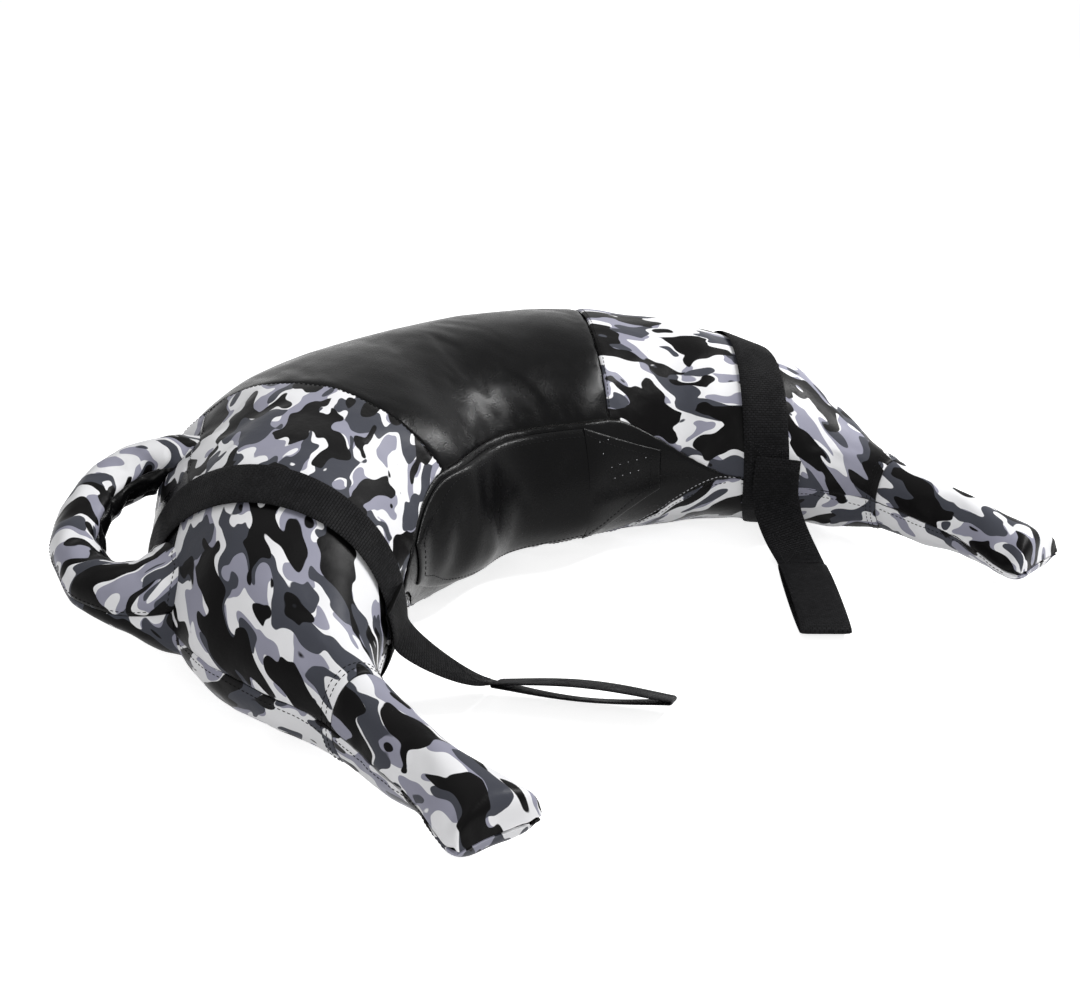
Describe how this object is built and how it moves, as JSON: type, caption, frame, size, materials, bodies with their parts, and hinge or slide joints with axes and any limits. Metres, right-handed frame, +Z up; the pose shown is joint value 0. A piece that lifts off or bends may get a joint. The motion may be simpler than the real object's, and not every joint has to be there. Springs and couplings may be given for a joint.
{
  "type": "bulgarian bag",
  "caption": "Crescent-shaped stuffed training bag with tapered end handles, outer loop handles and webbing straps that end in hand loops.",
  "frame": {"origin": "on the ground under the middle of the bag's overall outline, straps and loop handles included", "axes": "+X from the left tip towards the right tip, +Y from the open neck side towards the crown, +Z up"},
  "size_m": [0.7478, 0.5514, 0.1897],
  "materials": {
    "camouflage_skin": "satin",
    "black_leather": "satin",
    "black_webbing": "woven",
    "hook_and_loop_tape": "matte",
    "liner_canvas": "woven",
    "sand_sack": "woven",
    "stuffing": "matte"
  },
  "bodies": {
    "bag": {"centre_top_panel": "black_leather", "centre_base_panel": "camouflage_skin", "neck_patch": "black_leather", "filler_cover": "black_leather", "patch_tape": "hook_and_loop_tape", "liner": "liner_canvas", "centre_sand_sack": "sand_sack", "left_top_panel": "camouflage_skin", "left_loop_root_panel": "camouflage_skin", "left_arm_base_panel": "camouflage_skin", "left_handle_top": "camouflage_skin", "left_handle_base": "camouflage_skin", "left_loop_cover_top": "camouflage_skin", "left_loop_facing": "black_leather", "left_loop_cover_base": "camouflage_skin", "left_loop_core": "stuffing", "left_strap_band": "black_webbing", "left_tail_tack": "black_webbing", "left_grip_core": "stuffing", "left_sand_sack": "sand_sack", "right_top_panel": "camouflage_skin", "right_loop_root_panel": "camouflage_skin", "right_arm_base_panel": "camouflage_skin", "right_handle_top": "camouflage_skin", "right_handle_base": "camouflage_skin", "right_loop_cover_top": "camouflage_skin", "right_loop_facing": "black_leather", "right_loop_cover_base": "camouflage_skin", "right_loop_core": "stuffing", "right_strap_band": "black_webbing", "right_tail_tack": "black_webbing", "right_grip_core": "stuffing", "right_sand_sack": "sand_sack"},
    "tab": {"closure_tab": "black_leather", "tab_tape": "hook_and_loop_tape"},
    "left_tail": {"left_strap_tail": "black_webbing"},
    "left_loop": {"left_hand_loop": "black_webbing"},
    "right_tail": {"right_strap_tail": "black_webbing"},
    "right_loop": {"right_hand_loop": "black_webbing"}
  },
  "joints": [
    {"name": "tab_fold", "type": "hinge", "parent": "bag", "child": "tab", "pos_m": [0.05324, -0.00117, 0.07179], "axis": [-0.0319, -0.0741, -0.9967], "range_deg": [0, 110]},
    {"name": "left_tail_lift", "type": "hinge", "parent": "bag", "child": "left_tail", "pos_m": [-0.20631, -0.07464, 0.06047], "axis": [-0.7685, -0.6112, -0.1893], "range_deg": [0, 70]},
    {"name": "left_loop_lift", "type": "hinge", "parent": "left_tail", "child": "left_loop", "pos_m": [-0.15245, -0.11449, 0.01525], "axis": [-0.7286, -0.5391, 0.4226], "range_deg": [0, 50]},
    {"name": "right_tail_lift", "type": "hinge", "parent": "bag", "child": "right_tail", "pos_m": [0.20631, -0.07464, 0.06047], "axis": [-0.7685, 0.6112, 0.1893], "range_deg": [0, 70]},
    {"name": "right_loop_lift", "type": "hinge", "parent": "right_tail", "child": "right_loop", "pos_m": [0.19062, -0.11894, 0.0068], "axis": [-0.7254, 0.6883, 0], "range_deg": [0, 50]}
  ]
}
